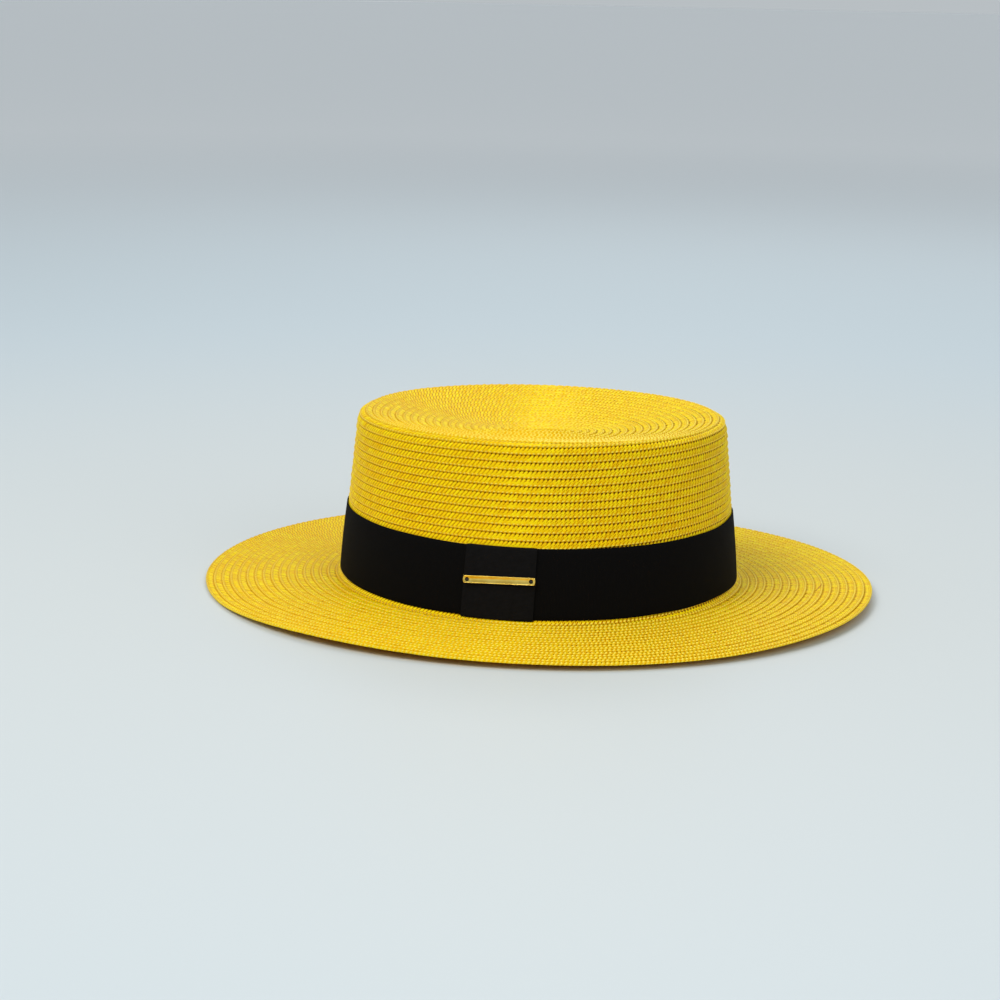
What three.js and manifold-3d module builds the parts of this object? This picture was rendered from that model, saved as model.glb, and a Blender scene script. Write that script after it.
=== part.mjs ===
// Straw boater hat: an oval crown and brim of sewn paper-straw braid, with a ribbon band,
// a ribbon tab over the band's join and a small gold bar on the tab.
//
// Frame: millimetres, +Z up. The origin is on the resting surface, under the middle of the hat.
// +X runs along the long axis of the oval, and the tab and bar are on the -Y side.
// Angles go round the hat from +X towards +Y.

import * as THREE from 'three';
import { mergeVertices } from 'three/addons/utils/BufferGeometryUtils.js';
import Module from 'manifold-3d';

const wasm = await Module();
wasm.setup();

// ---- Driving dimensions -------------------------------------------------------------------

const SEGMENTS = 72; // facets round the hat
const GAP = 0.3; // clearance between touching pieces

// The braid starts on a straight core line, so every row is an oval: a round of the row's
// radius, stretched by the core line.
const CORE_HALF_LENGTH = 12.6;
const CORE_ROW_RADIUS = 4; // the first row round the core line

const STRAW_WALL = 2; // two lapped layers of braid
const CROWN_FOOT_RADIUS = 89.3; // straw wall at the foot of the crown
const CROWN_SHOULDER_RADIUS = 81.1; // straw wall just under the shoulder
const CROWN_SHOULDER_HEIGHT = 87;
const FOOT_HEIGHT = 4.1; // lower end of the straight side, on average
const FOOT_SWAY = 1.45; // how much higher the foot is at the two ends of the oval
const FOOT_ROW_FLARE = 3; // how far the lowest row of the crown spreads on the brim

// Top of the crown, from the core line out to the shoulder.
const TIP_SECTIONS = [
  { radius: CORE_ROW_RADIUS, height: 79.3 },
  { radius: 18, height: 79.4 },
  { radius: 30, height: 80.1 },
  { radius: 38, height: 81.3 },
  { radius: 58, height: 84.7 },
  { radius: 74, height: 87.5 },
  { radius: 77.6, height: 88.3 },
  { radius: 79.6, height: 88.4 },
  { radius: 80.7, height: 87.9 },
  { radius: CROWN_SHOULDER_RADIUS, height: CROWN_SHOULDER_HEIGHT },
];
const CROWN_SIDE_STEPS = 6; // facets up the side

const BRIM_INNER_HEIGHT = 3; // top face of the brim at the crown, on average
const BRIM_INNER_SWAY = 0.95; // how much higher it is at the two ends of the oval
const BRIM_EDGE_RADIUS = 158.9;
const BRIM_EDGE_ROUNDING = 1;
const BRIM_EDGE_ROW = 4.1; // the last row lies level
const BRIM_STEPS = 5; // facets across the sloping part of the brim

// How far the underside of the brim's edge is lifted off the surface, every 30 degrees.
const EDGE_LIFT = [
  { angle: 0, lift: 2.3 },
  { angle: 30, lift: 0.9 },
  { angle: 60, lift: 0 },
  { angle: 90, lift: 0 },
  { angle: 120, lift: 0 },
  { angle: 150, lift: 0 },
  { angle: 180, lift: 0.1 },
  { angle: 210, lift: 0.5 },
  { angle: 240, lift: 0.8 },
  { angle: 270, lift: 0 },
  { angle: 300, lift: 1.4 },
  { angle: 330, lift: 2.6 },
];

const BAND_RISE = 0.9; // lower edge of the band above the foot of the crown
const BAND_HEIGHT = 34.6; // a 35 mm ribbon on the sloping wall
const RIBBON = 1; // ribbon thickness

const TAB_WIDTH = 35;
const TAB_CENTRE_X = -8;
const TAB_HANG = 0.8; // how far the tab hangs below the band
const TAB_STEPS = 8; // facets across the tab

const PLATE_LENGTH = 35.5;
const PLATE_HEIGHT = 3.9;
const PLATE_THICKNESS = 0.9;
const PLATE_CENTRE_X = -7.8;
const PLATE_RISE = 18.7; // middle of the plate above the lower edge of the band
const PLATE_CORNER = 0.8; // clipped corners
const PLATE_HOLE_RADIUS = 0.9;
const PLATE_HOLE_INSET = 2; // hole centre from the end of the plate
const PLATE_HOLE_SIDES = 16;

const STRAW_YELLOW = 0xf0cc3a;
const RIBBON_BLACK = 0x111014;
const TAB_BLACK = 0x17161a;
const GOLD = 0xe2bd55;

// ---- The oval plan and the heights that vary round it ----------------------------------------

const fullTurn = 2 * Math.PI;

function ovalPoint(radius, angle) {
  const c = Math.cos(angle);
  const coreX = (CORE_HALF_LENGTH * c * (3 - c * c)) / 2;
  return { x: radius * c + coreX, y: radius * Math.sin(angle) };
}

function footHeight(angle) {
  return FOOT_HEIGHT + FOOT_SWAY * Math.cos(2 * angle);
}

function brimInnerTop(angle) {
  return BRIM_INNER_HEIGHT + BRIM_INNER_SWAY * Math.cos(2 * angle);
}

// Smooth curve through the EDGE_LIFT table, never below the resting surface.
function edgeLift(angle) {
  const count = EDGE_LIFT.length;
  const place = ((angle / fullTurn) * count + count) % count;
  const index = Math.floor(place);
  const t = place - index;
  const lift = (step) => EDGE_LIFT[(index + step + count) % count].lift;
  const slopeIn = (lift(1) - lift(-1)) / 2;
  const slopeOut = (lift(2) - lift(0)) / 2;
  const rise = lift(1) - lift(0);
  const curve = lift(0) + t * slopeIn
    + t * t * (3 * rise - 2 * slopeIn - slopeOut)
    + t * t * t * (slopeIn + slopeOut - 2 * rise);
  return Math.max(curve, 0);
}

function wallRadius(angle, height) {
  const foot = footHeight(angle);
  const rise = (height - foot) / (CROWN_SHOULDER_HEIGHT - foot);
  return CROWN_FOOT_RADIUS + (CROWN_SHOULDER_RADIUS - CROWN_FOOT_RADIUS) * rise;
}

function smoothStep(t) {
  return t * t * (3 - 2 * t);
}

// ---- Turning sections into closed solids -----------------------------------------------------

// A section maps an angle to { radius, height }. Each section becomes one oval ring of points.
function ringPoints(section, positions) {
  for (let i = 0; i < SEGMENTS; i++) {
    const angle = (i / SEGMENTS) * fullTurn;
    const { radius, height } = section(angle);
    const { x, y } = ovalPoint(radius, angle);
    positions.push(x, y, height);
  }
}

function joinRings(lower, upper, indices) {
  for (let i = 0; i < SEGMENTS; i++) {
    const next = (i + 1) % SEGMENTS;
    const a = lower * SEGMENTS + i;
    const b = lower * SEGMENTS + next;
    const c = upper * SEGMENTS + next;
    const d = upper * SEGMENTS + i;
    indices.push(a, b, c, a, c, d);
  }
}

// Closes an oval ring with strips that run straight across it.
function capRing(ring, facesUp, indices) {
  const first = ring * SEGMENTS;
  const half = SEGMENTS / 2;
  const across = (i) => first + ((SEGMENTS - i) % SEGMENTS);
  const add = (a, b, c) => (facesUp ? indices.push(a, b, c) : indices.push(a, c, b));
  for (let i = 0; i < half; i++) {
    if (i > 0) add(first + i, first + i + 1, across(i));
    if (i + 1 < half) add(first + i + 1, across(i + 1), across(i));
  }
}

function makeGeometry(positions, indices) {
  const geometry = new THREE.BufferGeometry();
  geometry.setAttribute('position', new THREE.Float32BufferAttribute(positions, 3));
  geometry.setIndex(indices);
  geometry.computeVertexNormals();
  return geometry;
}

// A shell open to one side: the sections run from the middle of its outer face, round the rim,
// to the middle of its inner face.
function shellGeometry(sections) {
  const positions = [];
  const indices = [];
  for (const section of sections) ringPoints(section, positions);
  for (let s = 0; s + 1 < sections.length; s++) joinRings(s + 1, s, indices);
  capRing(0, true, indices);
  capRing(sections.length - 1, false, indices);
  return makeGeometry(positions, indices);
}

// A ring: the sections go once round its cross-section, outwards along the top.
function ringGeometry(sections) {
  const positions = [];
  const indices = [];
  for (const section of sections) ringPoints(section, positions);
  for (let s = 0; s < sections.length; s++) joinRings((s + 1) % sections.length, s, indices);
  return makeGeometry(positions, indices);
}

function material(name, color, roughness, metalness) {
  return new THREE.MeshStandardMaterial({ name, color, roughness, metalness });
}

function namedMesh(name, geometry, surface) {
  const mesh = new THREE.Mesh(geometry, surface);
  mesh.name = name;
  return mesh;
}

// ---- Crown ------------------------------------------------------------------------------------

function crownSide(step, inset) {
  const rise = step / CROWN_SIDE_STEPS;
  return (angle) => {
    const foot = footHeight(angle);
    const height = foot + (CROWN_SHOULDER_HEIGHT - foot) * rise;
    return { radius: wallRadius(angle, height) - inset, height };
  };
}

function crownFoot(radius) {
  return (angle) => ({ radius, height: brimInnerTop(angle) + GAP });
}

function makeCrown() {
  const sections = [];
  for (const { radius, height } of TIP_SECTIONS) sections.push(() => ({ radius, height }));
  for (let step = CROWN_SIDE_STEPS - 1; step >= 0; step--) sections.push(crownSide(step, 0));
  sections.push(crownFoot(CROWN_FOOT_RADIUS + FOOT_ROW_FLARE));
  sections.push(crownFoot(CROWN_FOOT_RADIUS - STRAW_WALL));
  for (let step = 1; step < CROWN_SIDE_STEPS; step++) sections.push(crownSide(step, STRAW_WALL));
  const innerShoulder = CROWN_SHOULDER_RADIUS - STRAW_WALL;
  sections.push(() => ({ radius: innerShoulder, height: CROWN_SHOULDER_HEIGHT - STRAW_WALL }));
  const innerTip = TIP_SECTIONS.filter(({ radius }) => radius < innerShoulder - STRAW_WALL);
  for (const { radius, height } of innerTip.reverse()) {
    sections.push(() => ({ radius, height: height - STRAW_WALL }));
  }
  return namedMesh('crown', shellGeometry(sections), material('straw', STRAW_YELLOW, 0.6, 0));
}

// ---- Brim -------------------------------------------------------------------------------------

// Height of the brim's top face, from the foot of the crown out to its level last row.
function brimTop(angle, radius) {
  const start = CROWN_FOOT_RADIUS + FOOT_ROW_FLARE;
  const end = BRIM_EDGE_RADIUS - BRIM_EDGE_ROW;
  const t = THREE.MathUtils.clamp((radius - start) / (end - start), 0, 1);
  const edgeTop = edgeLift(angle) + STRAW_WALL;
  return THREE.MathUtils.lerp(brimInnerTop(angle), edgeTop, smoothStep(t));
}

function makeBrim() {
  const inner = CROWN_FOOT_RADIUS - STRAW_WALL;
  const start = CROWN_FOOT_RADIUS + FOOT_ROW_FLARE;
  const end = BRIM_EDGE_RADIUS - BRIM_EDGE_ROW;
  const radii = [inner];
  for (let step = 0; step <= BRIM_STEPS; step++) {
    radii.push(THREE.MathUtils.lerp(start, end, step / BRIM_STEPS));
  }
  radii.push(BRIM_EDGE_RADIUS - BRIM_EDGE_ROUNDING);
  const top = (radius) => (angle) => ({ radius, height: brimTop(angle, radius) });
  const under = (radius) => (angle) => ({ radius, height: brimTop(angle, radius) - STRAW_WALL });
  const edge = (angle) => ({
    radius: BRIM_EDGE_RADIUS,
    height: brimTop(angle, BRIM_EDGE_RADIUS) - STRAW_WALL / 2,
  });
  const sections = [...radii.map(top), edge, ...radii.reverse().map(under)];
  return namedMesh('brim', ringGeometry(sections), material('straw', STRAW_YELLOW, 0.6, 0));
}

// ---- Ribbon band and tab ----------------------------------------------------------------------

// A point on the ribbon: its offset from the straw wall and its height above the band's lower edge.
function ribbonSection(offset, rise) {
  return (angle) => {
    const height = footHeight(angle) + BAND_RISE + rise;
    return { radius: wallRadius(angle, height) + offset, height };
  };
}

const bandOuter = GAP + RIBBON;
const tabInner = bandOuter + GAP;
const tabOuter = tabInner + RIBBON;

function makeBand() {
  const sections = [
    ribbonSection(GAP, 0),
    ribbonSection(GAP, BAND_HEIGHT),
    ribbonSection(bandOuter, BAND_HEIGHT),
    ribbonSection(bandOuter, 0),
  ];
  return namedMesh('hat_band', ringGeometry(sections), material('ribbon', RIBBON_BLACK, 0.8, 0));
}

// The angle on the -Y side where a ribbon section has the given x.
function angleAtX(x, section) {
  let low = Math.PI;
  let high = fullTurn;
  const halvings = 40;
  for (let i = 0; i < halvings; i++) {
    const middle = (low + high) / 2;
    const tooFarLeft = ovalPoint(section(middle).radius, middle).x < x;
    if (tooFarLeft) low = middle;
    else high = middle;
  }
  return low;
}

// Sweeps a closed cross-section along the -Y side of the band, between two x positions.
function sweepAlongBand(sections, centreX, width, steps) {
  const positions = [];
  const indices = [];
  const count = sections.length;
  for (let step = 0; step <= steps; step++) {
    const x = centreX + width * (step / steps - 0.5);
    const angle = angleAtX(x, sections[0]);
    for (const section of sections) {
      const { radius, height } = section(angle);
      const point = ovalPoint(radius, angle);
      positions.push(point.x, point.y, height);
    }
  }
  for (let step = 0; step < steps; step++) {
    for (let s = 0; s < count; s++) {
      const next = (s + 1) % count;
      const a = step * count + s;
      const b = step * count + next;
      const c = (step + 1) * count + next;
      const d = (step + 1) * count + s;
      indices.push(a, c, b, a, d, c);
    }
  }
  return { positions, indices, count };
}

// The tab's cross-section is a hook: a front sheet that hangs just below the band, with a lip
// folded over the band's upper edge.
function makeTab() {
  const lipHeight = BAND_HEIGHT + GAP;
  const sections = [
    ribbonSection(tabOuter, -TAB_HANG),
    ribbonSection(tabOuter, lipHeight + RIBBON),
    ribbonSection(GAP, lipHeight + RIBBON),
    ribbonSection(GAP, lipHeight),
    ribbonSection(tabInner, lipHeight),
    ribbonSection(tabInner, -TAB_HANG),
  ];
  const { positions, indices, count } = sweepAlongBand(sections, TAB_CENTRE_X, TAB_WIDTH, TAB_STEPS);
  const faces = [[0, 1, 4], [0, 4, 5], [1, 2, 3], [1, 3, 4]];
  const last = TAB_STEPS * count;
  for (const [a, b, c] of faces) {
    indices.push(a, b, c);
    indices.push(last + a, last + c, last + b);
  }
  return namedMesh('band_tab', makeGeometry(positions, indices), material('ribbon', TAB_BLACK, 0.8, 0));
}

// ---- Gold bar ---------------------------------------------------------------------------------

function toSolid(geometry) {
  const bare = geometry.clone();
  bare.deleteAttribute('normal');
  bare.deleteAttribute('uv');
  const merged = mergeVertices(bare);
  return new wasm.Manifold(new wasm.Mesh({
    numProp: 3,
    vertProperties: new Float32Array(merged.attributes.position.array),
    triVerts: new Uint32Array(merged.index.array),
  }));
}

function fromSolid(solid) {
  const mesh = solid.getMesh();
  return makeGeometry(mesh.vertProperties, Array.from(mesh.triVerts));
}

function plateOutline() {
  const halfLength = PLATE_LENGTH / 2;
  const halfHeight = PLATE_HEIGHT / 2;
  const shape = new THREE.Shape();
  shape.moveTo(-halfLength + PLATE_CORNER, -halfHeight);
  shape.lineTo(halfLength - PLATE_CORNER, -halfHeight);
  shape.lineTo(halfLength, -halfHeight + PLATE_CORNER);
  shape.lineTo(halfLength, halfHeight - PLATE_CORNER);
  shape.lineTo(halfLength - PLATE_CORNER, halfHeight);
  shape.lineTo(-halfLength + PLATE_CORNER, halfHeight);
  shape.lineTo(-halfLength, halfHeight - PLATE_CORNER);
  shape.lineTo(-halfLength, -halfHeight + PLATE_CORNER);
  return shape;
}

function plateHole(x) {
  const depth = PLATE_THICKNESS * 3;
  const hole = new THREE.CylinderGeometry(PLATE_HOLE_RADIUS, PLATE_HOLE_RADIUS, depth, PLATE_HOLE_SIDES);
  hole.rotateX(Math.PI / 2);
  hole.translate(x, 0, PLATE_THICKNESS / 2);
  return toSolid(hole);
}

// The bar is straight. It is laid against the tab with its back on the middle of the tab.
function makePlate() {
  const bar = new THREE.ExtrudeGeometry(plateOutline(), { depth: PLATE_THICKNESS, bevelEnabled: false });
  const holeX = PLATE_LENGTH / 2 - PLATE_HOLE_INSET;
  const pierced = toSolid(bar).subtract(plateHole(-holeX)).subtract(plateHole(holeX));
  const mesh = namedMesh('name_plate', fromSolid(pierced), material('gold', GOLD, 0.25, 1));

  const back = ribbonSection(tabOuter + GAP, PLATE_RISE);
  const angle = angleAtX(PLATE_CENTRE_X, back);
  const { radius, height } = back(angle);
  const { x, y } = ovalPoint(radius, angle);
  const before = ovalPoint(back(angle - 0.01).radius, angle - 0.01);
  const after = ovalPoint(back(angle + 0.01).radius, angle + 0.01);
  const turn = Math.atan2(after.y - before.y, after.x - before.x);
  const wallLean = Math.atan2(CROWN_FOOT_RADIUS - CROWN_SHOULDER_RADIUS, CROWN_SHOULDER_HEIGHT - FOOT_HEIGHT);
  mesh.position.set(x, y, height);
  mesh.rotation.order = 'ZXY';
  mesh.rotation.set(Math.PI / 2 - wallLean, 0, turn);
  return mesh;
}

// ---- The hat ----------------------------------------------------------------------------------

const hat = new THREE.Group();
hat.name = 'straw_boater_hat';
hat.add(makeCrown(), makeBrim(), makeBand(), makeTab(), makePlate());

export default hat;
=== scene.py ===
"""Looks of a straw boater hat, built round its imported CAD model.

The straw is modelled as it is made: one flat paper braid, sewn in a spiral from the straight core
line in the tip, over the shoulder, down the side and out to the edge of the brim. Lengths are in
millimetres until a mesh is made, and Blender's are in metres. Angles go round the hat from +X
towards +Y.
"""

import math

import bpy
import numpy as np
from mathutils import Matrix, Vector


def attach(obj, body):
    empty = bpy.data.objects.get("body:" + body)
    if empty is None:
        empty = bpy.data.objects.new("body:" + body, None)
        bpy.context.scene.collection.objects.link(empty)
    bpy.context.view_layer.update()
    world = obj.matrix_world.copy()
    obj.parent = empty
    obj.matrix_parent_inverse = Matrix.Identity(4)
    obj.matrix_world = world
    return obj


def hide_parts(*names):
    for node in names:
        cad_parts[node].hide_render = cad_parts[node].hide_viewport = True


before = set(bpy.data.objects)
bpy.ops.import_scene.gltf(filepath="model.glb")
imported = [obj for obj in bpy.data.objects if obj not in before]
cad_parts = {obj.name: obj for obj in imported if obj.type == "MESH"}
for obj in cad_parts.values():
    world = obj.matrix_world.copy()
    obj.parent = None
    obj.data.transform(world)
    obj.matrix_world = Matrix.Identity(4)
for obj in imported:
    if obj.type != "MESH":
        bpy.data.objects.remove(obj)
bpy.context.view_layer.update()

MM = 0.001
TURN = 2 * math.pi

# ---- Sizes of the hat ------------------------------------------------------------------------

CORE_HALF_LENGTH = 12.6  # the straight line that the braid starts on
FOOT_RADIUS = 89.3  # straw at the foot of the crown
FOOT_HEIGHT = 4.1
SHOULDER_RADIUS = 81.1
SHOULDER_HEIGHT = 87.0
BRIM_INNER_RADIUS = 92.3
BRIM_EDGE_RADIUS = 158.9
BRIM_EDGE_TOP = 2.0
BRIM_SINK = 0.45  # the braid is thinner than the CAD wall, so the brim's face lies lower at its edge

# The hat's section, from the core line to the edge of the brim. sway is how much higher the ends
# of the oval are than the average, and lift the share of the edge's lift.
SECTION = np.array(
    [
        # radius, height, sway, lift
        (0.0, 79.3, 0.0, 0.0),
        (18.0, 79.4, 0.0, 0.0),
        (30.0, 80.1, 0.0, 0.0),
        (38.0, 81.3, 0.0, 0.0),
        (58.0, 84.7, 0.0, 0.0),
        (74.0, 87.8, 0.0, 0.0),
        (77.2, 88.5, 0.0, 0.0),
        (79.0, 88.0, 0.0, 0.0),
        (80.3, 86.9, 0.0, 0.0),
        (81.2, 85.2, 0.0, 0.0),
        (FOOT_RADIUS, FOOT_HEIGHT, 1.45, 0.0),
        (BRIM_INNER_RADIUS, 3.0, 0.95, 0.0),
        (110.0, 2.75, 0.75, 0.16),
        (135.0, 2.15, 0.25, 0.7),
        (152.0, BRIM_EDGE_TOP, 0.0, 0.98),
        (BRIM_EDGE_RADIUS, BRIM_EDGE_TOP, 0.0, 1.0),
    ]
)
CREST_RADIUS = 77.6  # the last row of the tip ends here, and the next one turns the corner
SECTION_STEP = 0.25
SECTION_SOFTNESS = 2.0  # corners of the section are rounded over this length

# How far the edge of the brim is lifted off the surface, every 30 degrees.
EDGE_LIFT = np.array([3.4, 1.3, 0.0, 0.0, 0.0, 0.0, 0.0, 0.0, 2.9, 2.1, 1.9, 3.4])

# ---- Sizes of the braid ----------------------------------------------------------------------

TIP_ROWS = 20
SIDE_ROWS = 23
BRIM_ROWS = 17
ALL_ROWS = TIP_ROWS + SIDE_ROWS + BRIM_ROWS
OVERLAP = 1.2  # each row is sewn under the one before it by this much
STRAND_PITCH = 2.1
WANDER_STRANDS = 24  # the braid rises and falls a little over this many strands
STRAND_LEAN = 2.6  # how far a strand runs along the row while it crosses it
CLIMB_END = math.radians(-95)  # each row steps out by one pitch on its way to this angle, at the front right
CLIMB_WIDTH = math.radians(80)
LIP_BEAD = 0.20  # each strand stands up by this much where it turns over the lip
SPLICE_TURN = 53.741  # where one length of braid is sewn onto the next, on the right of the brim
SPLICE_SLOPE = 0.037  # the cut end runs slantwise over the row, in turns over the row's width
SPLICE_MIDDLE = 0.6
SPLICE_LIFT = 0.3
SPLICE_FADE = 0.02
END_DEPTH = -0.6  # the end of the braid thins out inside the row before it
SPIRAL_START = -CLIMB_WIDTH / TURN  # the first row grows out of the core line in this part of a turn

# The braid's section: how far across it is, how far it stands off the hat's surface, how much
# the strands stand out there.
BRAID_SECTION = np.array(
    [
        # across, height, strand relief
        (0.0, -1.05, 0.0),
        (0.25, -0.52, 0.40),
        (0.45, -0.10, 0.36),
        (0.66, 0.02, 0.32),
        (0.78, -0.06, 0.24),
        (0.89, 0.32, 0.22),
        (1.0, -0.06, 0.16),
        (0.97, -0.72, 0.0),
    ]
)

# On the right of the hat the weave is looser: the strands lie half a pitch further on beyond
# this point across. It turns from one to the other over the span.
STAGGER_AT = 0.56
STAGGER_SPAN = 70.0

# How far along the row a strand has gone at each point of that section, as a share of its lean.
STRAND_COURSE = np.array([1.0, 0.98, 0.78, 0.46, 0.28, 0.12, 0.0, 0.0])

# ---- Camera ----------------------------------------------------------------------------------

CAMERA_AZIMUTH = math.radians(7.94)
CAMERA_ELEVATION = math.radians(13.02)
CAMERA_ROLL = math.radians(1.23)
CAMERA_DISTANCE = 1.1373
CAMERA_AIM = Vector((-0.0203, -0.0028, 0.0417))
CAMERA_SENSOR = 36
CAMERA_LENS = 79.4


def make_camera():
    az, el, roll = CAMERA_AZIMUTH, CAMERA_ELEVATION, CAMERA_ROLL
    back = Vector((math.sin(az) * math.cos(el), -math.cos(az) * math.cos(el), math.sin(el)))
    right = Vector((math.cos(az), math.sin(az), 0))
    up = back.cross(right)
    turned_right = right * math.cos(roll) + up * math.sin(roll)
    turned_up = up * math.cos(roll) - right * math.sin(roll)
    data = bpy.data.cameras.new("camera")
    data.sensor_width = CAMERA_SENSOR
    data.lens = CAMERA_LENS
    data.clip_start = 0.01
    data.clip_end = 50
    camera = bpy.data.objects.new("camera", data)
    place = CAMERA_AIM + back * CAMERA_DISTANCE
    turn = Matrix((turned_right, turned_up, back)).transposed().to_4x4()
    camera.matrix_world = Matrix.Translation(place) @ turn
    bpy.context.collection.objects.link(camera)
    bpy.context.scene.camera = camera


# ---- The hat's surface -----------------------------------------------------------------------


def soft_section():
    """The section as a dense table: distance from the core line, radius, height, sway, lift."""
    legs = np.hypot(np.diff(SECTION[:, 0]), np.diff(SECTION[:, 1]))
    at = np.concatenate([[0], np.cumsum(legs)])
    dense = np.arange(0, at[-1] + SECTION_STEP, SECTION_STEP)
    columns = np.stack([np.interp(dense, at, column) for column in SECTION.T], axis=1)
    reach = int(SECTION_SOFTNESS / SECTION_STEP)
    weights = np.hanning(2 * reach + 3)[1:-1]
    weights /= weights.sum()
    before = 2 * columns[0] - columns[reach:0:-1]
    after = 2 * columns[-1] - columns[-2 : -reach - 2 : -1]
    padded = np.concatenate([before, columns, after])
    soft = np.stack([np.convolve(column, weights, "valid") for column in padded.T], axis=1)
    return np.column_stack([dense, soft])


SOFT = soft_section()
SECTION_LENGTH = SOFT[-1, 0]


def distance_at(column, value, first, last):
    """Distance along the section where a column passes a value, between two distances."""
    inside = (SOFT[:, 0] >= first) & (SOFT[:, 0] <= last)
    rows = SOFT[inside]
    nearest = np.argmin(np.abs(rows[:, column] - value))
    return rows[nearest, 0]


CREST_AT = distance_at(1, CREST_RADIUS, 0, 82)
FOOT_AT = distance_at(1, FOOT_RADIUS, 150, 175)
ROW_ENDS = np.array([0, TIP_ROWS, TIP_ROWS + SIDE_ROWS, ALL_ROWS])
ROW_END_AT = np.array([0, CREST_AT, FOOT_AT, SECTION_LENGTH])


def row_start(row):
    """Distance along the section where a row comes out from under the one before."""
    return np.interp(row, ROW_ENDS, ROW_END_AT)


def edge_lift(angle):
    count = len(EDGE_LIFT)
    place = (angle / TURN * count) % count
    index = np.floor(place).astype(int) % count
    t = place - np.floor(place)
    before, here, there, after = (EDGE_LIFT[(index + step) % count] for step in (-1, 0, 1, 2))
    slope_in = (there - before) / 2
    slope_out = (after - here) / 2
    rise = there - here
    curve = here + t * slope_in
    curve += t * t * (3 * rise - 2 * slope_in - slope_out)
    curve += t * t * t * (slope_in + slope_out - 2 * rise)
    return np.maximum(curve, 0)


def surface(distance, angle):
    """Points and outward normals of the hat's surface."""
    at = np.clip(distance, 0, SECTION_LENGTH)
    radius, height, sway, lift = (np.interp(at, SOFT[:, 0], SOFT[:, k]) for k in (1, 2, 3, 4))
    radius = np.maximum(radius, 0.12)
    c, s = np.cos(angle), np.sin(angle)
    x = radius * c + CORE_HALF_LENGTH * c * (3 - c * c) / 2
    y = radius * s
    z = height + sway * np.cos(2 * angle) + lift * edge_lift(angle)
    beyond_foot = np.clip((at - FOOT_AT) / (SECTION_LENGTH - FOOT_AT), 0, 1)
    z = z - BRIM_SINK * beyond_foot

    step = SECTION_STEP
    ahead = np.clip(at + step, 0, SECTION_LENGTH)
    behind = np.clip(at - step, 0, SECTION_LENGTH)
    slope_r = np.interp(ahead, SOFT[:, 0], SOFT[:, 1]) - np.interp(behind, SOFT[:, 0], SOFT[:, 1])
    slope_z = np.interp(ahead, SOFT[:, 0], SOFT[:, 2]) - np.interp(behind, SOFT[:, 0], SOFT[:, 2])
    long = np.hypot(slope_r, slope_z)
    out_x = radius * c
    out_y = radius * s + 1.5 * CORE_HALF_LENGTH * s**3
    out = np.hypot(out_x, out_y)
    tilt = -slope_z / long
    normal = np.stack([tilt * out_x / out, tilt * out_y / out, slope_r / long], axis=-1)
    return np.stack([x, y, z], axis=-1), normal


def row_length_rate(distance, angle):
    """How fast a row's length grows with the angle, at a distance along the section."""
    radius = np.interp(distance, SOFT[:, 0], SOFT[:, 1])
    s = np.sin(angle)
    return np.hypot(radius * s + 1.5 * CORE_HALF_LENGTH * s**3, radius * np.cos(angle))


# ---- Meshes ----------------------------------------------------------------------------------


def make_object(name, points, faces, smooth_angle=None):
    mesh = bpy.data.meshes.new(name)
    mesh.from_pydata((np.asarray(points) * MM).tolist(), [], faces)
    mesh.polygons.foreach_set("use_smooth", np.ones(len(mesh.polygons), bool))
    if smooth_angle is not None:
        mesh.set_sharp_from_angle(angle=smooth_angle)
    mesh.update()
    piece = bpy.data.objects.new(name, mesh)
    bpy.context.collection.objects.link(piece)
    return piece


def tube_faces(stations, around, closed):
    """Quads of a tube whose rings of points follow each other, with end caps if it is open."""
    spans = stations if closed else stations - 1
    i, j = np.meshgrid(np.arange(spans), np.arange(around), indexing="ij")
    after_i = (i + 1) % stations
    after_j = (j + 1) % around
    quads = np.stack(
        [i * around + j, after_i * around + j, after_i * around + after_j, i * around + after_j],
        axis=-1,
    )
    faces = quads.reshape(-1, 4).tolist()
    if not closed:
        faces.append(list(range(around)))
        faces.append(list(range(stations * around - 1, (stations - 1) * around - 1, -1)))
    return faces


def set_vector(piece, name, values):
    layer = piece.data.attributes.new(name, "FLOAT_VECTOR", "POINT")
    layer.data.foreach_set("vector", np.ascontiguousarray(values, np.float32).ravel())


# ---- The braid -------------------------------------------------------------------------------


def soft_step(t):
    t = np.clip(t, 0, 1)
    return t * t * (3 - 2 * t)


def turn_angle(turns):
    """The braid winds clockwise, seen from above."""
    return CLIMB_END - TURN * turns


def climb(turns):
    """The row number at a point of the spiral: level, then one step out near each turn's end."""
    whole = np.floor(turns)
    width = CLIMB_WIDTH / TURN
    return whole + soft_step((turns - whole - (1 - width)) / width)


def spiral_stations(first_turn, last_turn, spacing):
    """Turns at even steps of braid length, and the strand number at each, counted from the core."""
    fine = np.linspace(SPIRAL_START, last_turn, int((last_turn - SPIRAL_START) * 720) + 1)
    angle = turn_angle(fine)
    rate = row_length_rate(row_start(climb(fine) + 1), angle)
    length = np.concatenate([[0], np.cumsum((rate[1:] + rate[:-1]) / 2 * np.diff(fine) * TURN)])
    start = np.interp(first_turn, fine, length)
    first = math.floor(start / spacing)
    last = math.floor(length[-1] / spacing)
    at = np.arange(first, last + 1) * spacing
    return np.interp(at, length, fine), at / STRAND_PITCH


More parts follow.
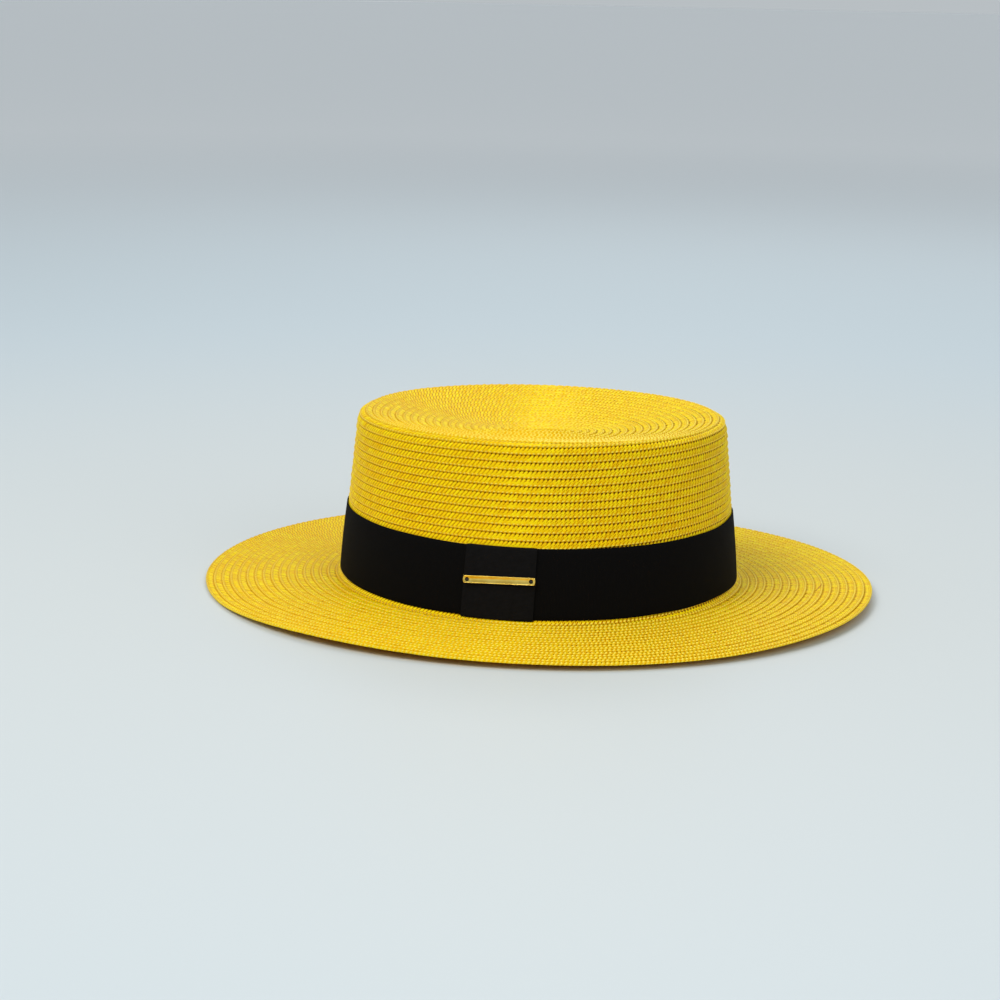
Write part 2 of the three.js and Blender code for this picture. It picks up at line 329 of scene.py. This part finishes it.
def make_braid(name, first_turn, last_turn, samples_per_strand, relief, rng):
    """A stretch of the sewn braid, as one closed ribbon."""
    turns, strand = spiral_stations(first_turn, last_turn, STRAND_PITCH / samples_per_strand)
    across, height, stand = BRAID_SECTION.T
    lip_at = row_start(climb(turns) + 1)
    rate = row_length_rate(lip_at, turn_angle(turns))
    lean = STRAND_LEAN / TURN / rate
    t = turns[:, None] - lean[:, None] * STRAND_COURSE[None, :]
    row = climb(t)
    start = row_start(row) - OVERLAP
    end = row_start(row + 1)
    distance = start + (end - start) * across[None, :]
    angle = turn_angle(t)
    points, normals = surface(distance, angle)

    phase = strand - np.floor(strand)
    upper = np.where(phase < 0.1, 0.0, 1.0)
    lower = np.where(phase < 0.1, 1.0, 0.25)
    staggered = soft_step(0.5 + points[..., 0] / STAGGER_SPAN) * (across[None, :] > STAGGER_AT)
    crest = upper[:, None] + (lower - upper)[:, None] * staggered
    count = int(strand[-1]) + 2
    uneven = rng.normal(0, 0.22, count)
    loops = np.where(np.arange(count) % 2 == 0, 0.12, -0.08)
    which = np.floor(strand).astype(int)
    off = np.tile(height, (len(turns), 1))
    off += relief * stand[None, :] * (crest * (1 + uneven[which][:, None]) - 0.5)
    lip = (across > 0.8) & (across < 0.95)
    off[:, lip] += relief * (loops[which] * upper + LIP_BEAD * (1 - upper))[:, None]
    knots = np.arange(0, count + WANDER_STRANDS, WANDER_STRANDS)
    wander = np.interp(strand, knots, rng.normal(0, 0.07, len(knots)))
    off += wander[:, None]
    past_splice = turns[:, None] - SPLICE_TURN + SPLICE_SLOPE * (across[None, :] - SPLICE_MIDDLE)
    off += np.where(past_splice > 0, SPLICE_LIFT * np.clip(1 - past_splice / SPLICE_FADE, 0, 1), 0)
    ending = np.clip(1 - (ALL_ROWS - turns) * TURN / CLIMB_WIDTH, 0, 1)
    off += (END_DEPTH - off) * ending[:, None]
    points = (points + normals * off[..., None])[::-1]

    piece = make_object(
        name,
        points.reshape(-1, 3),
        tube_faces(len(turns), len(across), False),
        math.radians(75),
    )
    marks = np.stack(
        [
            np.broadcast_to(strand[:, None], t.shape),
            np.broadcast_to(across[None, :], t.shape),
            np.broadcast_to(turns[:, None], t.shape),
        ],
        axis=-1,
    )[::-1]
    set_vector(piece, "braid", marks)
    return piece


# ---- Ribbon ----------------------------------------------------------------------------------

BAND_RISE = 0.9
BAND_HEIGHT = 34.6
BAND_OFFSET = 0.42  # inner face of the ribbon off the straw
RIBBON = 0.55
TAB_WIDTH = 35.0
TAB_CENTRE = -8.0
TAB_LEAN = -1.2  # how far the tab's lower edge is shifted along the band


def foot_height(angle):
    return FOOT_HEIGHT + 1.45 * np.cos(2 * angle)


def wall_point(angle, rise, offset):
    """A point off the side of the crown: its height above the band's lower edge, its offset."""
    foot = foot_height(angle)
    z = foot + BAND_RISE + rise
    radius = FOOT_RADIUS + (SHOULDER_RADIUS - FOOT_RADIUS) * (z - foot) / (SHOULDER_HEIGHT - foot)
    radius = radius + offset
    c, s = np.cos(angle), np.sin(angle)
    return np.stack([radius * c + CORE_HALF_LENGTH * c * (3 - c * c) / 2, radius * s, z], axis=-1)


def rounded_strip(low, high, inner, thickness, rows):
    """Closed section of a ribbon: rises and offsets, with rounded edges."""
    outer = inner + thickness
    middle = (inner + outer) / 2
    edge = thickness / 2
    up = np.linspace(low + edge, high - edge, rows)
    rise = np.concatenate([up, [high - edge * 0.3, high, high - edge * 0.3], up[::-1]])
    rise = np.concatenate([rise, [low + edge * 0.3, low, low + edge * 0.3]])
    offset = np.concatenate([np.full(rows, outer), [outer - edge * 0.3, middle, inner + edge * 0.3]])
    offset = np.concatenate([offset, np.full(rows, inner), [inner + edge * 0.3, middle, outer - edge * 0.3]])
    return rise, offset


def make_band(rng):
    stations = 480
    angle = np.arange(stations) / stations * TURN
    rise, offset = rounded_strip(0, BAND_HEIGHT, BAND_OFFSET, RIBBON, 14)
    share = rise / BAND_HEIGHT
    wave = sum(
        rng.normal(0, 0.06) * np.cos(k * angle + rng.uniform(0, TURN)) for k in range(3, 14)
    )
    bulge = 0.25 * np.sin(np.pi * np.clip(share, 0, 1))
    rises = rise[None, :] + wave[:, None] * np.sign(share - 0.5)[None, :]
    offsets = np.broadcast_to(offset + bulge, rises.shape)
    points = wall_point(angle[:, None], rises, offsets)
    piece = make_object(
        "ribbon_band",
        points.reshape(-1, 3),
        tube_faces(stations, len(rise), True),
        math.radians(60),
    )
    along = angle / TURN * 600
    marks = np.stack(np.broadcast_arrays(along[:, None], rises, 0.0), axis=-1)
    set_vector(piece, "weave", marks)
    return piece


def angle_at(x, offset):
    """Angle on the -Y side where the lower wall has the given x."""
    angles = np.linspace(math.pi, TURN, 4001)
    places = wall_point(angles, np.full_like(angles, BAND_HEIGHT / 2), offset)[:, 0]
    return np.interp(x, places, angles)


def tab_path():
    """The tab's middle line, from behind its top fold, down the front, to its turned-under hem."""
    base = BAND_OFFSET + RIBBON + RIBBON / 2 + 0.12
    top = BAND_HEIGHT
    knots = np.array(
        [
            # offset, rise
            (0.1, top - 0.10),
            (0.7, top + 0.12),
            (base + 0.08, top - 0.05),
            (base + 0.26, top - 1.0),
            (base + 0.34, top - 4.0),
            (base + 0.34, top / 2),
            (base + 0.32, 4.0),
            (base + 0.26, 0.5),
            (base + 0.08, -0.35),
            (0.75, -0.45),
        ]
    )
    legs = np.hypot(np.diff(knots[:, 0]), np.diff(knots[:, 1]))
    at = np.concatenate([[0], np.cumsum(legs)])
    near_top = np.linspace(0, at[4], 16)
    middle = np.linspace(at[4], at[6], 12)[1:-1]
    near_hem = np.linspace(at[6], at[-1], 14)
    where = np.concatenate([near_top, middle, near_hem])
    return np.interp(where, at, knots[:, 0]), np.interp(where, at, knots[:, 1]), where


def make_tab():
    offset, rise, along = tab_path()
    slope_o = np.gradient(offset, along)
    slope_r = np.gradient(rise, along)
    long = np.hypot(slope_o, slope_r)
    out_o, out_r = -slope_r / long, slope_o / long
    half = RIBBON / 2
    columns = 25
    share = np.linspace(-0.5, 0.5, columns)
    edge = np.where(np.abs(share) > 0.49, 0.35, 1.0)
    sheets = []
    for side in (1, -1):
        offsets = offset[None, :] + side * half * edge[:, None] * out_o[None, :]
        rises = rise[None, :] + side * half * edge[:, None] * out_r[None, :]
        lean = TAB_LEAN * (0.5 - rises / BAND_HEIGHT)
        x = TAB_CENTRE + TAB_WIDTH * share[:, None] + lean
        angles = angle_at(x, offset.mean())
        sheets.append(wall_point(angles, rises, offsets))
    front, back = sheets
    ring = np.concatenate([front, back[:, ::-1]], axis=1)
    piece = make_object(
        "ribbon_tab",
        ring.reshape(-1, 3),
        tube_faces(columns, ring.shape[1], False),
        math.radians(50),
    )
    down = np.concatenate([along, along[::-1]])
    marks = np.stack(np.broadcast_arrays(down[None, :], TAB_WIDTH * share[:, None], 1.0), axis=-1)
    set_vector(piece, "weave", marks)
    return piece


# ---- Gold bar --------------------------------------------------------------------------------

BAR_LENGTH = 34.9
BAR_HEIGHT = 3.65
BAR_THICKNESS = 0.9
BAR_CLIP = 0.35
BAR_POINT = 0.4
BAR_BEVEL = 0.14
BAR_RIM = 0.22
BAR_SUNK = 0.05
BAR_HOLE = 1.02
BAR_HOLE_INSET = 1.8
BAR_RISE = 18.95
BAR_CENTRE = -7.8
BAR_OFFSET = 2.15
THREAD_RADIUS = 0.2
THREAD_SPREAD = 0.32
THREAD_LOW = -0.3
THREAD_HIGH = 0.3
BAR_TILT = math.radians(2)  # its right end is a little higher


def bar_frame():
    """Where the bar sits: along it, out from the hat, and up, as a matrix in millimetres."""
    angle = angle_at(BAR_CENTRE, BAR_OFFSET)
    angles = np.array([angle - 0.01, angle, angle + 0.01])
    before, here, after = wall_point(angles, np.full(3, BAR_RISE), BAR_OFFSET)
    lower, upper = wall_point(np.array([angle, angle]), np.array([0.0, 2 * BAR_RISE]), BAR_OFFSET)
    along = Vector(after - before).normalized()
    up = Vector(upper - lower).normalized()
    out = along.cross(up).normalized()
    up = out.cross(along).normalized()
    turn = Matrix((along, up, out)).transposed().to_4x4()
    return Matrix.Translation(Vector(here)) @ turn @ Matrix.Rotation(BAR_TILT, 4, "Z")


def bar_outline(inset):
    x = BAR_LENGTH / 2 - inset
    y = BAR_HEIGHT / 2 - inset
    clip = BAR_CLIP
    point = x + BAR_POINT * 0.6
    right = [(x - clip, -y), (x, -y + clip), (point, 0), (x, y - clip), (x - clip, y)]
    left = [(-px, -py) for px, py in right]
    return right + left


def make_bar():
    bm_mesh = bpy.data.meshes.new("gold_bar")
    outline = bar_outline(0)
    n = len(outline)
    levels = [
        (BAR_BEVEL, 0.0),
        (0.0, BAR_BEVEL),
        (0.0, BAR_THICKNESS - BAR_BEVEL),
        (BAR_BEVEL, BAR_THICKNESS),
        (BAR_RIM, BAR_THICKNESS),
        (BAR_RIM + BAR_SUNK, BAR_THICKNESS - BAR_SUNK),
    ]
    points = []
    for inset, z in levels:
        points += [(x, y, z) for x, y in bar_outline(inset)]
    faces = [list(range(n))[::-1]]
    for level in range(len(levels) - 1):
        for k in range(n):
            a = level * n + k
            b = level * n + (k + 1) % n
            faces.append([a, b, b + n, a + n])
    faces.append([(len(levels) - 1) * n + k for k in range(n)])
    bm_mesh.from_pydata(points, [], faces)
    piece = bpy.data.objects.new("gold_bar", bm_mesh)
    bpy.context.collection.objects.link(piece)
    holes = [drill(sign * (BAR_LENGTH / 2 - BAR_HOLE_INSET)) for sign in (-1, 1)]
    for hole in holes:
        cut = piece.modifiers.new("hole", "BOOLEAN")
        cut.object = hole
        cut.operation = "DIFFERENCE"
        cut.solver = "EXACT"
    bevel = piece.modifiers.new("soft_edges", "BEVEL")
    bevel.width = 0.07
    bevel.segments = 2
    bevel.limit_method = "ANGLE"
    bevel.angle_limit = math.radians(25)
    apply_modifiers(piece)
    for hole in holes:
        bpy.data.objects.remove(hole)
    piece.data.transform(Matrix.Scale(MM, 4) @ bar_frame())
    piece.data.polygons.foreach_set("use_smooth", np.ones(len(piece.data.polygons), bool))
    piece.data.set_sharp_from_angle(angle=math.radians(35))
    return piece


def drill(x):
    sides = 32
    ring = [(math.cos(k / sides * TURN), math.sin(k / sides * TURN)) for k in range(sides)]
    points = [(x + BAR_HOLE * c, BAR_HOLE * s, z) for z in (-1, 2) for c, s in ring]
    faces = [[k, (k + 1) % sides, sides + (k + 1) % sides, sides + k] for k in range(sides)]
    faces += [list(range(sides))[::-1], list(range(sides, 2 * sides))]
    mesh = bpy.data.meshes.new("drill")
    mesh.from_pydata(points, [], faces)
    hole = bpy.data.objects.new("drill", mesh)
    bpy.context.collection.objects.link(hole)
    return hole


def apply_modifiers(piece):
    graph = bpy.context.evaluated_depsgraph_get()
    mesh = bpy.data.meshes.new_from_object(piece.evaluated_get(graph))
    piece.modifiers.clear()
    piece.data = mesh


def make_thread():
    """Black thread in each hole of the bar: three strands that come up, cross it and go down."""
    sides = 8
    points = []
    faces = []
    for sign in (-1, 1):
        hole_x = sign * (BAR_LENGTH / 2 - BAR_HOLE_INSET)
        for spread in (-THREAD_SPREAD, 0.0, THREAD_SPREAD):
            base = len(points)
            path = thread_path(hole_x, spread)
            for place, way in path:
                side = Vector((0, 1, 0))
                up = way.cross(side).normalized()
                for j in range(sides):
                    turned = side * math.cos(j / sides * TURN) + up * math.sin(j / sides * TURN)
                    points.append(tuple(place + turned * THREAD_RADIUS))
            faces += [[base + i for i in face] for face in tube_faces(len(path), sides, False)]
    piece = make_object("bar_thread", points, faces)
    piece.data.transform(Matrix.Scale(MM, 4) @ bar_frame() @ Matrix.Scale(1 / MM, 4))
    return piece


def thread_path(hole_x, spread):
    """Middle line of one strand across a hole, as places and directions."""
    steps = 11
    places = []
    for k in range(steps):
        t = k / (steps - 1)
        x = hole_x + (t - 0.5) * 2 * (BAR_HOLE - THREAD_RADIUS * 1.3)
        z = THREAD_LOW + (THREAD_HIGH - THREAD_LOW) * math.sin(math.pi * t) ** 0.5
        places.append(Vector((x, spread, z)))
    ways = [places[min(k + 1, steps - 1)] - places[max(k - 1, 0)] for k in range(steps)]
    return [(place, way.normalized()) for place, way in zip(places, ways)]


# ---- Materials -------------------------------------------------------------------------------


class Nodes:
    """Short calls for building a node material."""

    def __init__(self, name):
        self.material = bpy.data.materials.new(name)
        self.material.use_nodes = True
        self.tree = self.material.node_tree
        self.tree.nodes.clear()
        self.shader = self.add("ShaderNodeBsdfPrincipled")
        output = self.add("ShaderNodeOutputMaterial")
        self.link(self.shader.outputs["BSDF"], output.inputs["Surface"])

    def add(self, kind, **settings):
        node = self.tree.nodes.new(kind)
        for key, value in settings.items():
            setattr(node, key, value)
        return node

    def link(self, source, target):
        self.tree.links.new(source, target)

    def feed(self, socket, value):
        if hasattr(value, "is_output"):
            self.link(value, socket)
        else:
            socket.default_value = value

    def math(self, operation, *values, clamp=False):
        node = self.add("ShaderNodeMath", operation=operation, use_clamp=clamp)
        for socket, value in zip(node.inputs, values):
            self.feed(socket, value)
        return node.outputs[0]

    def fade(self, value, low, high):
        """0 below low and 1 above high, smoothly."""
        node = self.add("ShaderNodeMapRange", interpolation_type="SMOOTHSTEP")
        self.feed(node.inputs["Value"], value)
        rising = low < high
        node.inputs["From Min"].default_value = low if rising else high
        node.inputs["From Max"].default_value = high if rising else low
        node.inputs["To Min"].default_value = 0 if rising else 1
        node.inputs["To Max"].default_value = 1 if rising else 0
        return node.outputs["Result"]

    def mix(self, share, first, second, blend="MIX"):
        node = self.add("ShaderNodeMix", data_type="RGBA", blend_type=blend)
        self.feed(node.inputs[0], share)
        self.feed(node.inputs[6], first)
        self.feed(node.inputs[7], second)
        return node.outputs[2]

    def attribute(self, name):
        node = self.add("ShaderNodeAttribute", attribute_name=name)
        split = self.add("ShaderNodeSeparateXYZ")
        self.link(node.outputs["Vector"], split.inputs[0])
        return split.outputs

    def join(self, x, y, z=0.0):
        node = self.add("ShaderNodeCombineXYZ")
        for socket, value in zip(node.inputs, (x, y, z)):
            self.feed(socket, value)
        return node.outputs[0]

    def noise(self, vector, scale, detail=2.0, roughness=0.5):
        node = self.add("ShaderNodeTexNoise")
        self.link(vector, node.inputs["Vector"])
        node.inputs["Scale"].default_value = scale
        node.inputs["Detail"].default_value = detail
        node.inputs["Roughness"].default_value = roughness
        return node.outputs["Fac"]

    def white(self, vector):
        node = self.add("ShaderNodeTexWhiteNoise")
        self.link(vector, node.inputs["Vector"])
        return node.outputs["Value"]

    def bump(self, height, distance, strength=1.0):
        node = self.add("ShaderNodeBump")
        self.link(height, node.inputs["Height"])
        node.inputs["Distance"].default_value = distance
        node.inputs["Strength"].default_value = strength
        self.link(node.outputs["Normal"], self.shader.inputs["Normal"])

    def object_place(self):
        return self.add("ShaderNodeTexCoord").outputs["Object"]


STRAW_MID = (0.940, 0.572, 0.001, 1)
STRAW_PALE = (1.000, 0.810, 0.006, 1)
# Painted highlight: the pale colour of the bright beads on the lip.
STRAW_LIP_HIGHLIGHT = (1.000, 0.860, 0.120, 1)
STRAW_DEEP = (0.820, 0.430, 0.001, 1)
# Painted shade: the colour of the gaps between strands, the furrow before the lip and the seam under the row before.
STRAW_CREVICE_SHADE = (0.560, 0.205, 0.001, 1)
# Painted shade: the dark inside of the needle holes.
STRAW_HOLE_SHADE = (0.200, 0.064, 0.001, 1)
STRAW_SHADE = (0.420, 0.140, 0.001, 1)
STRAW_GLOSS = (1.0, 0.80, 0.18, 1)


def straw_material():
    """Glossy paper straw: slanted strands, painted highlights on the lip, painted shade in the seam, the furrow and
    the gaps, and needle holes drawn as dots of painted shade.
    """
    n = Nodes("straw_braid")
    strand, across, turn = n.attribute("braid")
    number = n.math("FLOOR", strand)
    part = n.math("FRACT", strand)
    from_gap = n.math("MINIMUM", part, n.math("SUBTRACT", 1.0, part))
    split = n.add("ShaderNodeSeparateXYZ")
    n.link(n.object_place(), split.inputs[0])
    looser = n.fade(split.outputs["X"], -STAGGER_SPAN / 2 * MM, STAGGER_SPAN / 2 * MM)
    below = n.math("MULTIPLY", n.fade(across, STAGGER_AT - 0.03, STAGGER_AT + 0.03), looser)
    from_low_gap = n.math("SUBTRACT", 0.5, from_gap)
    nearest_gap = n.math("ADD", from_gap, n.math("MULTIPLY", below, n.math("SUBTRACT", from_low_gap, from_gap)))
    tone = n.white(n.join(number, 0.0))
    second = n.white(n.join(number, 7.0))
    gap = n.fade(nearest_gap, 0.22, 0.05)
    body = n.math("MULTIPLY", n.fade(across, 0.28, 0.40), n.fade(across, 0.90, 0.80))
    seam = n.fade(across, 0.40, 0.27)
    furrow = n.math("MULTIPLY", n.fade(across, 0.71, 0.77), n.fade(across, 0.84, 0.79))
    lip = n.math("MULTIPLY", n.fade(across, 0.81, 0.87), n.fade(across, 1.02, 0.95))

    fibre_place = n.join(n.math("MULTIPLY", strand, 5.0), n.math("MULTIPLY", across, 5.0), turn)
    fibre = n.noise(fibre_place, 1.0, 3.0, 0.65)
    blotch = n.noise(n.object_place(), 35.0, 3.0, 0.6)
    shade = n.math("ADD", n.math("MULTIPLY", tone, 0.22), n.math("MULTIPLY", fibre, 1.3))
    shade = n.math("ADD", shade, n.math("MULTIPLY", n.math("SUBTRACT", blotch, 0.5), 0.3))
    colour = n.mix(n.fade(shade, 0.50, 1.00), STRAW_MID, STRAW_PALE)
    colour = n.mix(n.math("MULTIPLY", n.fade(second, 0.5, 1.0), 0.35), colour, STRAW_DEEP)
    # Painted highlight: a bright bead on the lip where each strand turns over it, stronger on some strands.
    bead_highlight = n.math("MULTIPLY", n.fade(from_low_gap, 0.17, 0.38), n.math("ADD", n.math("MULTIPLY", second, 0.3), 0.65))
    colour = n.mix(n.math("MULTIPLY", lip, 0.80), colour, STRAW_DEEP)
    colour = n.mix(n.math("MULTIPLY", lip, bead_highlight), colour, STRAW_LIP_HIGHLIGHT)
    # Painted shade between the strands, in the furrow before the lip and in the seam where the row comes out from
    # under the one before.
    colour = n.mix(n.math("MULTIPLY", n.math("MULTIPLY", gap, body), 0.85), colour, STRAW_CREVICE_SHADE)
    colour = n.mix(n.math("MULTIPLY", furrow, 0.25), colour, STRAW_CREVICE_SHADE)
    colour = n.mix(n.math("MULTIPLY", seam, 0.50), colour, STRAW_CREVICE_SHADE)

    # The splice's cut end: a dark line across the row, in the same colour as the painted shade of the crevices.
    slant = n.math("MULTIPLY", n.math("SUBTRACT", across, SPLICE_MIDDLE), SPLICE_SLOPE)
    from_splice = n.math("ABSOLUTE", n.math("ADD", n.math("SUBTRACT", turn, SPLICE_TURN), slant))
    splice = n.math("MULTIPLY", n.fade(from_splice, 0.0036, 0.0016), body)
    colour = n.mix(n.math("MULTIPLY", splice, 0.9), colour, STRAW_CREVICE_SHADE)

    # Needle holes as dots of painted shade in the seam. They are drawn larger towards the right of the hat and in
    # the row at the foot of the crown, and fainter on the brim.
    hole_x = n.math("DIVIDE", from_gap, 0.20)
    hole_y = n.math("DIVIDE", n.math("SUBTRACT", across, 0.315), 0.085)
    away = n.math("ADD", n.math("MULTIPLY", hole_x, hole_x), n.math("MULTIPLY", hole_y, hole_y))
    foot_row = n.math("MULTIPLY", n.fade(turn, 41.5, 42.5), n.fade(turn, 44.5, 43.5))
    openness = n.math("ADD", n.math("MULTIPLY", n.noise(n.object_place(), 22.0), 0.6), n.math("MULTIPLY", tone, 0.6))
    openness = n.math("ADD", openness, n.math("MULTIPLY", n.math("MAXIMUM", looser, foot_row), 1.1))
    hole = n.fade(n.math("SUBTRACT", away, openness), 0.1, -0.6)
    hole = n.math("MULTIPLY", hole, n.math("SUBTRACT", 1.0, n.math("MULTIPLY", n.fade(turn, 44.2, 45.2), 0.45)))
    pinch_x = n.math("DIVIDE", from_gap, 0.16)
    pinch_y = n.math("DIVIDE", n.math("SUBTRACT", across, 0.60), 0.05)
    pinch = n.math("ADD", n.math("MULTIPLY", pinch_x, pinch_x), n.math("MULTIPLY", pinch_y, pinch_y))
    pinch = n.math("MULTIPLY", n.fade(pinch, 1.2, 0.4), n.fade(second, 0.35, 0.75))
    colour = n.mix(n.math("MULTIPLY", pinch, 0.8), colour, STRAW_SHADE)
    colour = n.mix(n.math("MULTIPLY", n.math("MULTIPLY", gap, foot_row), 0.8), colour, STRAW_SHADE)
    colour = n.mix(hole, colour, STRAW_HOLE_SHADE)
    n.link(colour, n.shader.inputs["Base Color"])

    rough = n.math("ADD", n.math("MULTIPLY", fibre, 0.22), 0.36)
    n.link(rough, n.shader.inputs["Roughness"])
    relief = n.math("SUBTRACT", n.math("MULTIPLY", fibre, 0.6), n.math("MULTIPLY", gap, 0.9))
    relief = n.math("SUBTRACT", relief, n.math("MULTIPLY", hole, 1.0))
    n.bump(relief, 0.00016)
    n.shader.inputs["Specular IOR Level"].default_value = 0.14
    n.shader.inputs["Specular Tint"].default_value = STRAW_GLOSS
    return n.material


RIBBON_BLACK = (0.0017, 0.0016, 0.0018, 1)
# Painted sheen: the lighter grey mixed into the black.
RIBBON_SHEEN = (0.0090, 0.0087, 0.0098, 1)


def ribbon_material(name, sheen_share):
    """Black grosgrain: fine ribs across the ribbon, and a faint painted sheen of lighter grey in soft clouds."""
    n = Nodes(name)
    along, across, _ = n.attribute("weave")
    rib = n.math("SINE", n.math("MULTIPLY", along, TURN / 0.62))
    thread = n.math("SINE", n.math("MULTIPLY", across, TURN / 0.4))
    cloud = n.noise(n.join(along, across), 0.35, 4.0, 0.6)
    fluff = n.noise(n.join(along, across), 2.6, 3.0, 0.7)
    # Painted sheen: some of the lighter grey everywhere and more in soft clouds, scaled by the material's share of
    # sheen.
    share = n.math("ADD", n.math("MULTIPLY", n.fade(cloud, 0.10, 0.90), 0.4), 0.35)
    share = n.math("MULTIPLY", share, sheen_share)
    colour = n.mix(share, RIBBON_BLACK, RIBBON_SHEEN)
    n.link(colour, n.shader.inputs["Base Color"])
    height = n.math("ADD", n.math("MULTIPLY", rib, 0.5), n.math("MULTIPLY", thread, 0.12))
    height = n.math("ADD", height, n.math("MULTIPLY", fluff, 0.06))
    n.bump(height, 0.00008)
    n.link(n.math("ADD", n.math("MULTIPLY", fluff, 0.2), 0.66), n.shader.inputs["Roughness"])
    n.shader.inputs["Specular IOR Level"].default_value = 0.05
    return n.material


GOLD_DEEP = (0.78, 0.50, 0.07, 1)
GOLD_BRIGHT = (0.93, 0.68, 0.16, 1)


def gold_material():
    """Polished gold plating with faint rubbing marks."""
    n = Nodes("polished_gold")
    place = n.object_place()
    smear = n.noise(place, 260.0, 3.0, 0.6)
    scratch = n.noise(place, 1900.0, 2.0, 0.5)
    colour = n.mix(n.fade(smear, 0.3, 0.7), GOLD_DEEP, GOLD_BRIGHT)
    n.link(colour, n.shader.inputs["Base Color"])
    n.shader.inputs["Metallic"].default_value = 1.0
    n.link(n.math("ADD", n.math("MULTIPLY", smear, 0.16), 0.10), n.shader.inputs["Roughness"])
    n.bump(scratch, 0.000006)
    return n.material


def thread_material():
    """Black sewing thread with a twist."""
    n = Nodes("black_thread")
    fuzz = n.noise(n.object_place(), 4200.0, 3.0, 0.6)
    colour = n.mix(fuzz, (0.006, 0.005, 0.006, 1), (0.03, 0.028, 0.03, 1))
    n.link(colour, n.shader.inputs["Base Color"])
    n.bump(fuzz, 0.00005)
    n.shader.inputs["Roughness"].default_value = 0.6
    return n.material


def set_material(piece, material):
    piece.data.materials.clear()
    piece.data.materials.append(material)


# ---- Stage -----------------------------------------------------------------------------------

FLOOR_RADIUS = 400.0
OVAL_RATIO = (BRIM_EDGE_RADIUS + CORE_HALF_LENGTH) / BRIM_EDGE_RADIUS
FLOOR_WARM_SHADE = (0.64, 0.38, 0.14, 1)  # painted warm shade: the glow of light that comes through and off the straw, painted on the floor under the brim
FLOOR_NEAR = (0.62, 0.66, 0.66, 1)
FLOOR_FAR = (0.58, 0.66, 0.70, 1)
FLOOR_HORIZON = (0.95, 0.97, 0.98, 1)  # as bright as the world behind it, so no horizon shows
WORLD_COLOUR = (0.78, 0.84, 0.88, 1)
WORLD_STRENGTH = 0.62


def make_floor():
    sides = 96
    ring = [(FLOOR_RADIUS * math.cos(k / sides * TURN), FLOOR_RADIUS * math.sin(k / sides * TURN), 0) for k in range(sides)]
    mesh = bpy.data.meshes.new("floor")
    mesh.from_pydata(ring, [], [list(range(sides))])
    floor = bpy.data.objects.new("floor", mesh)
    bpy.context.collection.objects.link(floor)
    n = Nodes("floor")
    place = n.object_place()
    oval = n.add("ShaderNodeVectorMath", operation="MULTIPLY")
    n.link(place, oval.inputs[0])
    oval.inputs[1].default_value = (1, OVAL_RATIO, 1)
    length = n.add("ShaderNodeVectorMath", operation="LENGTH")
    n.link(oval.outputs["Vector"], length.inputs[0])
    # Painted warm shade on the floor inside the oval of the brim's edge.
    colour = n.mix(n.fade(length.outputs["Value"], 0.160, 0.174), FLOOR_WARM_SHADE, FLOOR_NEAR)
    colour = n.mix(n.fade(length.outputs["Value"], 0.22, 1.0), colour, FLOOR_FAR)
    colour = n.mix(n.fade(length.outputs["Value"], 1.0, 4.0), colour, FLOOR_HORIZON)
    n.link(colour, n.shader.inputs["Base Color"])
    n.shader.inputs["Roughness"].default_value = 0.5
    n.shader.inputs["Specular IOR Level"].default_value = 0.3
    set_material(floor, n.material)


def make_light(name, place, aim, size, power, colour):
    data = bpy.data.lights.new(name, "AREA")
    data.shape = "SQUARE"
    data.size = size
    data.energy = power
    data.color = colour
    lamp = bpy.data.objects.new(name, data)
    lamp.location = place
    way = Vector(aim) - Vector(place)
    lamp.rotation_euler = way.to_track_quat("-Z", "Y").to_euler()
    bpy.context.collection.objects.link(lamp)


def make_lights():
    world = bpy.data.worlds.new("studio")
    world.use_nodes = True
    background = world.node_tree.nodes["Background"]
    background.inputs["Color"].default_value = WORLD_COLOUR
    background.inputs["Strength"].default_value = WORLD_STRENGTH
    bpy.context.scene.world = world
    make_light("key", (-0.8, -0.9, 1.6), (0, 0, 0.03), 1.0, 19.5, (1.0, 0.98, 0.96))
    make_light("fill", (1.3, -1.0, 1.0), (0, 0, 0.03), 1.2, 6.4, (0.97, 0.98, 1.0))
    make_light("back", (0.1, 1.3, 1.5), (0, 0, 0.05), 1.2, 9.5, (1.0, 1.0, 1.0))


# ---- Assembly --------------------------------------------------------------------------------

STRAND_SAMPLES = 3
HIDDEN_SAMPLES = 1
BRAID_PIECES = [
    # name, first turn, last turn, samples per strand, relief, the CAD node it stands for
    ("tip_braid", SPIRAL_START, 20, STRAND_SAMPLES, 1.0, "crown"),
    ("side_braid", 20, 35, STRAND_SAMPLES, 1.0, "crown"),
    ("side_braid_under_band", 35, 42, HIDDEN_SAMPLES, 0.0, "crown"),
    ("brim_braid_inner", 42, 50, STRAND_SAMPLES, 1.0, "brim"),
    ("brim_braid_middle", 50, 55, STRAND_SAMPLES, 1.0, "brim"),
    ("brim_braid_edge", 55, ALL_ROWS, STRAND_SAMPLES, 1.0, "brim"),
]


def build():
    rng = np.random.default_rng(7)
    make_camera()
    straw = straw_material()
    for name, first, last, samples, relief, node in BRAID_PIECES:
        braid = make_braid(name, first, last, samples, relief, rng)
        set_material(braid, straw)
        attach(braid, "root")
        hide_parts(node)

    band = make_band(rng)
    # The band gets a quarter of the tab's painted sheen. The tab's ribs run the other way, and it looks lighter.
    set_material(band, ribbon_material("ribbon_grosgrain", 0.25))
    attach(band, "root")
    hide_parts("hat_band")
    tab = make_tab()
    set_material(tab, ribbon_material("tab_grosgrain", 1.0))
    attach(tab, "root")
    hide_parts("band_tab")

    bar = make_bar()
    set_material(bar, gold_material())
    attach(bar, "root")
    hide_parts("name_plate")
    thread = make_thread()
    set_material(thread, thread_material())
    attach(thread, "root")

    make_floor()
    make_lights()
    bpy.context.scene.view_settings.view_transform = "Standard"


build()
